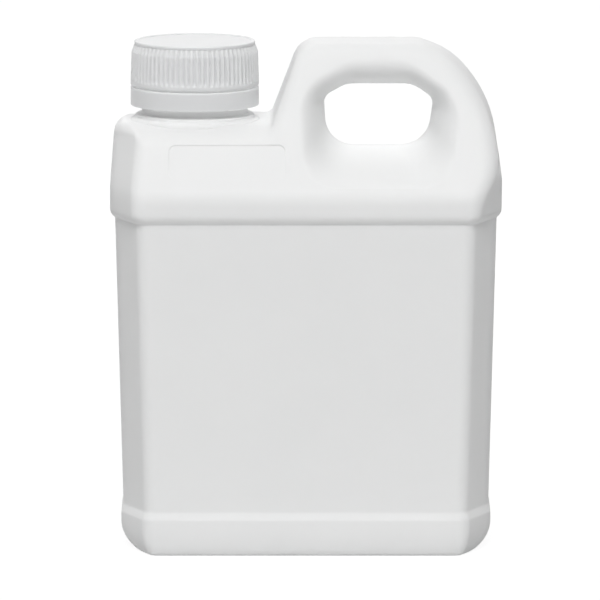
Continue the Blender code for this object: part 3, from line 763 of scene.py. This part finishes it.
# %% A tapered cutter, and a small bar
LABEL_CORNERS = np.array([(-44.3, 6.6), (-44.3, 18.7), (-6.5, 18.7), (-6.5, 6.6)])
OUTWARD = np.array([(-1, -1), (-1, 1), (1, 1), (1, -1)])
LABEL_DEPTH = 0.4
LABEL_ROUND = 2.5
LABEL_STEPS = 8
CUTTER_RISE = 1.0
PINCH_ENDS = np.array([-36.0, 36.0])
PINCH_SECTION = np.array([(-0.9, 2.8), (-0.4, 1.7), (0.4, 1.7), (0.9, 2.8)])


def label_cutter():
    """A rounded rectangle on the leaning plane, from its floor to above the surface.

    Its walls slope by 45 degrees, so a loop is wider by its height at each of
    its corners. Places on the plane are x and the way up from the lean line.
    """
    loops = []
    for low, high in ((0.0, -LABEL_DEPTH), (CUTTER_RISE, CUTTER_RISE)):
        wider = np.array([low, high, high, low])
        corners = LABEL_CORNERS + OUTWARD * wider[:, None]
        x, way = closed_path(corners, LABEL_ROUND + wider, LABEL_STEPS).T
        up = low + (high - low) * (way - way.min()) / (way.max() - way.min())
        y = -HALF_DEPTH + way * math.sin(LEAN) - up * math.cos(LEAN)
        z = LEAN_START + way * math.cos(LEAN) + up * math.sin(LEAN)
        loops.append(np.stack([x, y, z], axis=-1))
    count = len(loops[0])
    ends = [list(range(count)), list(range(count, 2 * count))]
    return new_mesh("label", np.concatenate(loops), grid_quads(2, count, closed=True) + ends)


def pinch_off():
    """A bar with bevelled flanks under the base's pushed-up middle: (end, section, 3)."""
    y, z = np.broadcast_to(PINCH_SECTION.T[:, None], (2, 2, 4))
    points = np.stack([np.broadcast_to(PINCH_ENDS[:, None], (2, 4)), y, z], axis=-1)
    faces = grid_quads(2, 4, closed=True) + [[0, 1, 2, 3], [4, 5, 6, 7]]
    return new_mesh("pinch_off", points.reshape(-1, 3), faces)


combine(can, label_cutter(), "DIFFERENCE")
combine(can, pinch_off(), "UNION")

# %% [markdown]
# ## Hollowing the can
#
# Blow moulding leaves a wall of nearly even thickness, handle included. A
# plainer copy of the skin, moved inwards along its normals by the wall, is
# cut out, and a bore opens the neck into it.

# %% The hollow and the bore
BORE_DEPTH = 8
MOUTH_BREAK = 0.4
BORE_RISE = 4
NECK_BORE = NECK_RADIUS - 2.0


def hollow_mesh():
    """The skin moved inwards by the wall's thickness along its vertex normals."""
    mesh = can_skin("hollow", PLAIN)
    at = np.empty(len(mesh.vertices) * 3)
    normal = np.empty(len(mesh.vertices) * 3)
    mesh.vertices.foreach_get("co", at)
    mesh.vertex_normals.foreach_get("vector", normal)
    mesh.vertices.foreach_set("co", at - normal * WALL * MM)
    mesh.update()
    return mesh


bore = np.array([
    (0, SHOULDER_TOP - BORE_DEPTH), (NECK_BORE, SHOULDER_TOP - BORE_DEPTH),
    (NECK_BORE, NECK_TOP - MOUTH_BREAK), (NECK_BORE + MOUTH_BREAK, NECK_TOP),
    (NECK_BORE + MOUTH_BREAK, NECK_TOP + BORE_RISE), (0, NECK_TOP + BORE_RISE),
])
combine(can, hollow_mesh(), "DIFFERENCE")
combine(can, turned_mesh("neck_bore", bore, ROUND_STEPS), "DIFFERENCE")
smooth(can.data)

# %% [markdown]
# ## The screw cap
#
# The cap is moulded in polypropylene: a plain bead at its mouth, seventy-two
# upright ribs for grip that start with a foot and end in rounded heads, a
# raised rim, and a sunk panel. Its whole outside and inside are one turned
# section, and the ribs are a wave that is taken off the radius between the
# bead and the rim. The thread inside is the neck's function again, reversed.

# %% The cap's section
CAP_BOTTOM, CAP_TOP = cap_low[2], cap_high[2]
PANEL = CAP_TOP - 0.3
CEILING = PANEL - 1.5
BEAD_TOP = CAP_BOTTOM + 1.6
BEAD_SLOPE = 0.25
GROOVE = CAP_TOP - 1.1
GROOVE_DEPTH, GROOVE_RISE = 0.15, 0.3
RIM_RADIUS = CAP_RADIUS - 1.2
RIM_LAND, RIM_WIDTH = 1.3, 1.6
BEVEL_WIDTH, BEVEL_HEIGHT = 0.3, 0.4
RIB_DRAFT = 0.3
CROWN_START, CROWN_END, CROWN_OUT = 2.4, 0.6, 0.2
CAP_SPACING = 0.8
CEILING_RUNS, THREAD_RUNS, PANEL_RUNS = 6, 44, 8


def cap_section():
    """From the ceiling's middle down the inside, round the mouth, up the ribs and over the top.

    The wall with the thread is cut more finely. The ribs' wall narrows a little
    upwards, then leans in as a crown to the groove under the rim.
    """
    corners = [
        (0, CEILING), (CAP_INSIDE, CEILING), (CAP_INSIDE, CAP_BOTTOM + BEVEL_HEIGHT),
        (CAP_INSIDE + BEVEL_WIDTH, CAP_BOTTOM), (CAP_RADIUS, CAP_BOTTOM), (CAP_RADIUS, BEAD_TOP + BEAD_SLOPE),
        (CAP_RADIUS - RIB_DRAFT, GROOVE - CROWN_START), (RIM_RADIUS + CROWN_OUT, GROOVE - CROWN_END),
        (RIM_RADIUS - GROOVE_DEPTH, GROOVE), (RIM_RADIUS, GROOVE + GROOVE_RISE), (RIM_RADIUS, CAP_TOP),
        (RIM_RADIUS - RIM_LAND, CAP_TOP), (RIM_RADIUS - RIM_WIDTH, PANEL), (0, PANEL),
    ]
    radii = [0, 0.4, 0.3, 0.2, 0.4, 0.3, 1.6, 0.45, 0.2, 0.2, 0.35, 0.25, 0.25, 0]
    arcs = [0, 3, 2, 2, 3, 2, 5, 4, 2, 2, 4, 3, 3, 0]
    runs = even_runs(corners, CAP_SPACING)
    runs[1], runs[2], runs[-1] = CEILING_RUNS, THREAD_RUNS, PANEL_RUNS
    return open_path(corners, radii, arcs, runs)


print("points of the cap's section:", len(cap_section()))

# %% The cap's ribs and thread
RIBS = 72
RIB_DEPTH = 0.6
RIB_TOP, VALLEY_FLANK = 0.25, 0.5
FOOT_HEIGHT, HEAD_HEIGHT, HEAD_RISE = 0.6, 1.6, 0.1
RIBBED_WALL = CAP_RADIUS - 1.7
CAP_STEPS = 10 * RIBS


def rib_wave(angles, z):
    """How much is taken off between two ribs.

    The phase is one in the valley's middle and zero in the rib's. The valley is
    eased out of it. It grows evenly over the foot, and runs out at the heads as
    the square root of the way to their tops.
    """
    phase = np.abs(np.mod(angles * RIBS / (2 * math.pi), 1) - 0.5) * 2
    valley = eased((phase - RIB_TOP) / VALLEY_FLANK)
    foot = np.clip((z - BEAD_TOP) / FOOT_HEIGHT, 0, 1)
    head = np.clip((GROOVE + HEAD_RISE - z) / HEAD_HEIGHT, 0, 1)
    return RIB_DEPTH * valley * foot * np.sqrt(head)


def cap_change(angles, radius, z):
    """Ribs outside, thread inside."""
    inside = np.abs(radius - CAP_INSIDE) < ON_WALL
    outside = (radius > RIBBED_WALL) & (z < GROOVE)
    thread = thread_height(angles, z, CAP_THREAD_START, CAP_THREAD_ROOT)
    return np.where(inside, -thread, 0) - np.where(outside, rib_wave(angles, z), 0)


cap = new_object("cap", turned_mesh("cap_form", cap_section(), CAP_STEPS, cap_change))

# %% [markdown]
# ## The tamper band and the liner
#
# The band is a plain ring with a hook inside that catches under the neck's
# bead. Thin bridges stand on it, which tear when the cap is first turned. The
# liner is a disc of foam that the cap presses on the neck's lip.

# %% The band with its bridges
BAND_BOTTOM = band_low[2]
BAND_TOP = BAND_BOTTOM + BAND_HEIGHT
HOOK_GAP = 0.4
HOOK_HEIGHT = 0.8
SECTION_START, SECTION_END = 0.6, 0.8
BAND_SPACING = 1.0
BRIDGES = 8
BRIDGE_ROOT, BRIDGE_HALF, BRIDGE_TAPER = 0.5, 0.5, 0.7


def band_section():
    """The ring's closed section, from a place on its lower face outwards and round to it again."""
    hook = NECK_RADIUS + TOUCH_GAP
    hook_top = CATCH_TOP - CATCH_HEIGHT - HOOK_GAP
    corners = [
        (CAP_RADIUS - SECTION_START, BAND_BOTTOM), (CAP_RADIUS, BAND_BOTTOM), (CAP_RADIUS, BAND_TOP),
        (CAP_INSIDE, BAND_TOP), (CAP_INSIDE, hook_top), (hook, hook_top), (hook, hook_top - HOOK_HEIGHT),
        (CAP_INSIDE, BAND_BOTTOM), (CAP_RADIUS - SECTION_END, BAND_BOTTOM),
    ]
    radii = [0, 0.3, 0.3, 0.2, 0.3, 0.15, 0.15, 0.4, 0]
    arcs = [0, 4, 4, 3, 2, 3, 3, 3, 0]
    return open_path(corners, radii, arcs, even_runs(corners, BAND_SPACING))


def bridge_mesh():
    """Eight tapered posts in one mesh, each from two squares: (bridge, level, corner, 3)."""
    turn = (np.arange(BRIDGES) + 0.5) * 2 * math.pi / BRIDGES
    out = np.stack([np.cos(turn), np.sin(turn)], axis=-1)
    side = np.stack([-out[:, 1], out[:, 0]], axis=-1)
    middle, half = (CAP_INSIDE + CAP_RADIUS) / 2, (CAP_RADIUS - CAP_INSIDE) / 4
    square = np.array([(-1, -1), (1, -1), (1, 1), (-1, 1)])
    levels = np.array([(BAND_TOP - BRIDGE_ROOT, 1.0), (band_high[2], BRIDGE_TAPER)])
    taper = levels[None, :, None, 1:]
    reach = middle + half * square[None, None, :, :1] * taper
    wide = BRIDGE_HALF * square[None, None, :, 1:] * taper
    flat = out[:, None, None, :] * reach + side[:, None, None, :] * wide
    up = np.broadcast_to(levels[None, :, None, :1], flat.shape[:3] + (1,))
    points = np.concatenate([flat + (NECK_X, 0), up], axis=-1)
    start = np.arange(BRIDGES)[:, None, None] * points[0, ..., 0].size
    walls = np.array([(0, 1, 5, 4), (1, 2, 6, 5), (2, 3, 7, 6), (3, 0, 4, 7), (3, 2, 1, 0), (4, 5, 6, 7)])
    return new_mesh("bridges", points.reshape(-1, 3), (start + walls).reshape(-1, 4).tolist())


band = new_object("band", turned_mesh("band_form", band_section(), ROUND_STEPS, ring=True))
combine(band, bridge_mesh(), "UNION")
smooth(band.data)

# %% The liner
LINER_ROUND = 0.25
LINER_SPACING = 0.5
LINER_RUNS = 8
LINER_STEPS = 160


def liner_section():
    """A disc with softly broken edges, from pole to pole."""
    radius = (liner_high[0] - liner_low[0]) / 2
    corners = [(0, liner_low[2]), (radius, liner_low[2]), (radius, liner_high[2]), (0, liner_high[2])]
    runs = even_runs(corners, LINER_SPACING)
    runs[1] = runs[3] = LINER_RUNS
    return open_path(corners, [0, LINER_ROUND, LINER_ROUND, 0], [0, 4, 4, 0], runs)


liner = new_object("liner", turned_mesh("liner_form", liner_section(), LINER_STEPS))

# %% [markdown]
# ## Shader arithmetic
#
# A material is a small calculation. The first class below wraps a socket, so
# that sums and products of sockets are written as plain expressions, and each
# adds its Math node. Every other node comes from the second class's method.

# %% A socket that can be calculated with


class Wire:
    """One output socket. Sums and products with it add Math nodes, whichever side it stands on."""

    def __init__(self, recipe, socket):
        self.recipe = recipe
        self.socket = socket

    def worked(self, operation, other):
        """A Math node on this socket and a value or another wire."""
        return self.recipe.node("ShaderNodeMath", {0: self, 1: other}, operation=operation)

    def __add__(self, other):
        return self.worked("ADD", other)

    def __mul__(self, other):
        return self.worked("MULTIPLY", other)

    __radd__, __rmul__ = __add__, __mul__


# %% The nodes of a material


class Recipe:
    """The nodes of a material or the world, and the method that adds any node to them."""

    def __init__(self, owner, end, constants):
        owner.use_nodes = True
        self.owner = owner
        self.tree = owner.node_tree
        self.end = self.tree.nodes[end]
        self.feed(**constants)

    def feed(self, **values):
        """Sets or links the end node's sockets, with _ for a space in a socket's name."""
        for name, value in values.items():
            self.plug(self.end.inputs[name.replace("_", " ")], value)

    def plug(self, socket, value):
        """Links a wire to a socket, or sets the socket to a value."""
        if isinstance(value, Wire):
            self.tree.links.new(value.socket, socket)
        else:
            socket.default_value = value

    def node(self, kind, sockets=None, output=0, **settings):
        """Adds a node of a kind. Its settings are made first, then its sockets set or linked."""
        made = self.tree.nodes.new(kind)
        for name, value in settings.items():
            setattr(made, name, value)
        for name, value in (sockets or {}).items():
            self.plug(made.inputs[name], value)
        return Wire(self, made.outputs[output])

    def place(self):
        """Where a point lies on the piece, in metres."""
        return self.node("ShaderNodeTexCoord", output="Object")

    def noise(self, scale, detail):
        """Soft cloud noise, so many to the metre, with so many finer layers."""
        return self.node("ShaderNodeTexNoise", {"Vector": self.place(), "Scale": scale, "Detail": detail})

    def mixed(self, factor, one, other):
        """A colour between two colours."""
        colours = {"Factor": factor, 6: (*one, 1.0), 7: (*other, 1.0)}
        return self.node("ShaderNodeMix", colours, output=2, data_type="RGBA")

    def bump(self, height, strength, distance, **under):
        """A normal that leans with a height, over another bump's Normal if that is given."""
        sockets = {"Height": height, "Strength": strength, "Distance": distance, **under}
        return self.node("ShaderNodeBump", sockets)


def plastic(name, **constants):
    """A new material with constants on its Principled shader."""
    return Recipe(bpy.data.materials.new(name), "Principled BSDF", constants)


# %% [markdown]
# ## The plastics
#
# The can is polyethylene with white pigment: soft in its gloss, very slightly
# mottled, with the fine grain that a blasted mould leaves and faint waves
# where the wall cooled unevenly. The cap and the band are polypropylene from
# polished steel, so they are smoother and a touch glossier. Light goes a
# little way into both, which softens their shadows. A faint painted glow, an
# emission, lies on the cap's inside and in the slit under it, so that they do
# not look black. The liner is a closed-cell foam whose cells show as pits.

# %% The can's polyethylene
GLOW = {"Subsurface_Weight": 1.0, "Subsurface_Radius": (1.0, 1.0, 1.0), "Specular_IOR_Level": 0.35}
CAN_TONES = (0.845, 0.85, 0.85), (0.875, 0.878, 0.876)
CAN_ROUGHNESS, ROUGHNESS_CHANGE = 0.56, 0.08


def polyethylene():
    """Clouded white, soft gloss, slow waves and over them the mould's fine grain."""
    recipe = plastic("white_polyethylene", IOR=1.5, Subsurface_Scale=0.0005, **GLOW)
    cloud = recipe.noise(scale=28.0, detail=3.0)
    recipe.feed(Base_Color=recipe.mixed(cloud, *CAN_TONES))
    recipe.feed(Roughness=CAN_ROUGHNESS + ROUGHNESS_CHANGE * recipe.noise(scale=90.0, detail=4.0))
    waves = recipe.bump(recipe.noise(scale=38.0, detail=1.0), strength=0.25, distance=0.0006)
    grain = recipe.noise(scale=2600.0, detail=2.0)
    recipe.feed(Normal=recipe.bump(grain, strength=0.2, distance=0.00004, Normal=waves))
    return recipe.owner


painted(can, polyethylene())

# %% The polypropylene of cap and band
CAP_TONES = (0.76, 0.765, 0.77), (0.78, 0.785, 0.79)
CAP_ROUGHNESS = 0.34
# Painted glow: an emission colour that stands in for light on the cap's inner walls and in the slit. There is
# none outside.
OUTSIDE_NO_GLOW, INSIDE_PAINTED_GLOW = (0, 0, 0), (0.32, 0.32, 0.32)
SLIT_GLOW_SHARE = 0.3
WALL_SLACK = 0.1
ROOF_CUT, OUTER_CUT = 1.0, 0.25


def painted_glow_walls(recipe):
    """Mask of the painted glow: one on the walls inside the cap and the band, less in the slit between them,
    nothing outside.

    They are nearer to the neck's axis than the skirt's inside and lie under the
    cap's roof, or else they lie in the slit and behind its outer edge.
    """
    place = recipe.place()
    off_axis = {0: place, 1: (1, 1, 0), 2: (-NECK_X * MM, 0, 0)}
    across = recipe.node("ShaderNodeVectorMath", off_axis, operation="MULTIPLY_ADD")
    radius = recipe.node("ShaderNodeVectorMath", {0: across}, output="Value", operation="LENGTH")
    height = recipe.node("ShaderNodeSeparateXYZ", {0: place}, output="Z")
    near = radius.worked("LESS_THAN", (CAP_INSIDE + WALL_SLACK) * MM)
    under = height.worked("LESS_THAN", (CAP_TOP - ROOF_CUT) * MM)
    behind = radius.worked("LESS_THAN", (CAP_RADIUS - OUTER_CUT) * MM)
    low, high = BAND_TOP - WALL_SLACK, CAP_BOTTOM + WALL_SLACK
    slit = {0: height, 1: (low + high) / 2 * MM, 2: (high - low) / 2 * MM}
    between = recipe.node("ShaderNodeMath", slit, operation="COMPARE")
    return (near * under).worked("MAXIMUM", SLIT_GLOW_SHARE * (behind * between))


def polypropylene():
    """Evener, smoother and glossier than the can, with a glow painted on its inner walls and in the slit
    under the cap.
    """
    recipe = plastic("white_polypropylene", IOR=1.49, Subsurface_Scale=0.001, Emission_Strength=1.0, **GLOW)
    cloud = recipe.noise(scale=120.0, detail=2.0)
    recipe.feed(Base_Color=recipe.mixed(cloud, *CAP_TONES))
    recipe.feed(Roughness=CAP_ROUGHNESS + ROUGHNESS_CHANGE * recipe.noise(scale=260.0, detail=3.0))
    # Painted glow: emission on the inner walls and in the slit, so they don't render black.
    recipe.feed(Emission_Color=recipe.mixed(painted_glow_walls(recipe), OUTSIDE_NO_GLOW, INSIDE_PAINTED_GLOW))
    grain = recipe.noise(scale=900.0, detail=2.0)
    recipe.feed(Normal=recipe.bump(grain, strength=0.12, distance=0.00003))
    return recipe.owner


smooth_plastic = polypropylene()
painted(cap, smooth_plastic)
painted(band, smooth_plastic)

# %% The liner's foam
CELL_SCALE = 2400.0
LINER_TONES = (0.72, 0.72, 0.70), (0.82, 0.82, 0.80)
LINER_ROUGHNESS, LINER_CHANGE = 0.75, 0.15


def liner_foam():
    """Dull off-white with a pit for every cell."""
    recipe = plastic("liner_foam", IOR=1.45)
    cells = recipe.node("ShaderNodeTexVoronoi", {"Vector": recipe.place(), "Scale": CELL_SCALE})
    recipe.feed(Base_Color=recipe.mixed(cells, *LINER_TONES))
    recipe.feed(Roughness=LINER_ROUGHNESS + LINER_CHANGE * recipe.noise(scale=800.0, detail=2.0))
    recipe.feed(Normal=recipe.bump(cells, strength=0.5, distance=0.00015))
    return recipe.owner


painted(liner, liner_foam())

# %% [markdown]
# ## Riding and replacing
#
# Each finished piece rides on the CAD body that it belongs to, and stands for
# its CAD node.

# %% Pieces take the nodes' places
bodies = frame["record"]["behaviour"]["bodies"]
node_body = {node: body for body, nodes in bodies.items() for node in nodes}
for piece, node, finish in (
    (can, "can_body", "can"),
    (cap, "screw_cap", "cap"),
    (band, "tamper_band", "cap"),
    (liner, "cap_liner", "liner"),
):
    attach(piece, node_body[node])
    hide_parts(node)
    print(piece.name, "rides on", node_body[node])

# %% [markdown]
# ## Floor, light and camera
#
# The photograph is a product shot on white: a large soft light in front and
# above, a weaker one over the object's left, a third from behind that reaches
# through the finger hole, and a backdrop that is brightest straight behind.
# The camera and reflections see the backdrop as plain white, and the floor as
# a faint shadow on white, made by adding what its own shade lacks of white.

# %% The floor
FLOOR_HALF = 3.0
FLOOR_BOUNCE = (0.69, 0.69, 0.69, 1)
FLOOR_SHADE = (0.12, 0.12, 0.12, 1)
FLOOR_FILL = 0.92
WHITE = (1, 1, 1, 1)


def seen_or_mirrored(recipe):
    """One on camera rays and on glossy rays, nothing on the rays that carry light."""
    camera_ray = recipe.node("ShaderNodeLightPath", output="Is Camera Ray")
    return camera_ray + recipe.node("ShaderNodeLightPath", output="Is Glossy Ray")


def white_floor():
    """A plain diffuse floor for light, and a faint shade plus a fill of white for the camera."""
    recipe = Recipe(bpy.data.materials.new("white_floor"), "Material Output", {})
    bounce = recipe.node("ShaderNodeBsdfDiffuse", {"Color": FLOOR_BOUNCE})
    shade = recipe.node("ShaderNodeBsdfDiffuse", {"Color": FLOOR_SHADE})
    fill = recipe.node("ShaderNodeEmission", {"Color": WHITE, "Strength": FLOOR_FILL})
    seen = recipe.node("ShaderNodeAddShader", {0: shade, 1: fill})
    mixed = {0: seen_or_mirrored(recipe), 1: bounce, 2: seen}
    recipe.feed(Surface=recipe.node("ShaderNodeMixShader", mixed))
    return recipe.owner


floor_mesh = bpy.data.meshes.new("floor")
floor_corners = np.array([(-1, -1, 0), (1, -1, 0), (1, 1, 0), (-1, 1, 0)]) * FLOOR_HALF
floor_mesh.from_pydata(floor_corners.tolist(), [], [(0, 1, 2, 3)])
floor = new_object("floor", floor_mesh)
painted(floor, white_floor())

# %% The backdrop
BACKDROP_START = 0.25
BACKDROP_DIM, BACKDROP_BRIGHT = 0.14, 1.15


def white_room():
    """White to the camera and on glossy rays.

    As a light it grows evenly with the direction's y, from dim at the start to
    bright straight behind the can.
    """
    recipe = Recipe(bpy.data.worlds.new("white_room"), "Background", {"Color": WHITE})
    direction = recipe.node("ShaderNodeTexCoord", output="Generated")
    backwards = recipe.node("ShaderNodeSeparateXYZ", {0: direction}, output="Y")
    lit = {"Value": backwards, "From Min": BACKDROP_START, "To Min": BACKDROP_DIM, "To Max": BACKDROP_BRIGHT}
    backdrop = recipe.node("ShaderNodeMapRange", lit)
    shown = {"Value": seen_or_mirrored(recipe), "To Min": backdrop, "To Max": 1.0}
    recipe.feed(Strength=recipe.node("ShaderNodeMapRange", shown))
    return recipe.owner


bpy.context.scene.world = white_room()
print("the backdrop's light runs from", BACKDROP_DIM, "to", BACKDROP_BRIGHT)

# %% The lamps
KEY_HEIGHT = 46.5
BEHIND_HEIGHT = 35
OVERHEAD_LEAN = 25


def soft_sun(name, share, spread, lean):
    """A sun whose light alone would give a white face square to it this share of white.

    Its energy is pi times that share. The spread and the lean are in degrees.
    """
    lamp = new_object(name, bpy.data.lights.new(name, "SUN"))
    lamp.data.energy = share * math.pi
    lamp.data.angle = math.radians(spread)
    lamp.rotation_euler = [math.radians(turn) for turn in lean]
    print(name, "gives", share, "of white")


soft_sun("key", share=0.68, spread=32, lean=(90 - KEY_HEIGHT, 0, 0))
soft_sun("overhead", share=0.14, spread=70, lean=(0, -OVERHEAD_LEAN, 0))
soft_sun("behind", share=0.075, spread=40, lean=(BEHIND_HEIGHT - 90, 0, 0))

# %% The camera
ELEVATION = math.radians(8)
DISTANCE = 4.0
VIEW_WIDTH = 0.195
TARGET = np.array((-0.0019, 0.0, 0.0791))
camera = new_object("camera", bpy.data.cameras.new("camera"))
camera.data.lens = camera.data.sensor_width * DISTANCE / VIEW_WIDTH
camera.location = TARGET + DISTANCE * np.array((0, -math.cos(ELEVATION), math.sin(ELEVATION)))
camera.rotation_euler = (math.pi / 2 - ELEVATION, 0, 0)
bpy.context.scene.camera = camera
bpy.context.scene.view_settings.view_transform = "Standard"
print("lens", round(camera.data.lens), "mm")
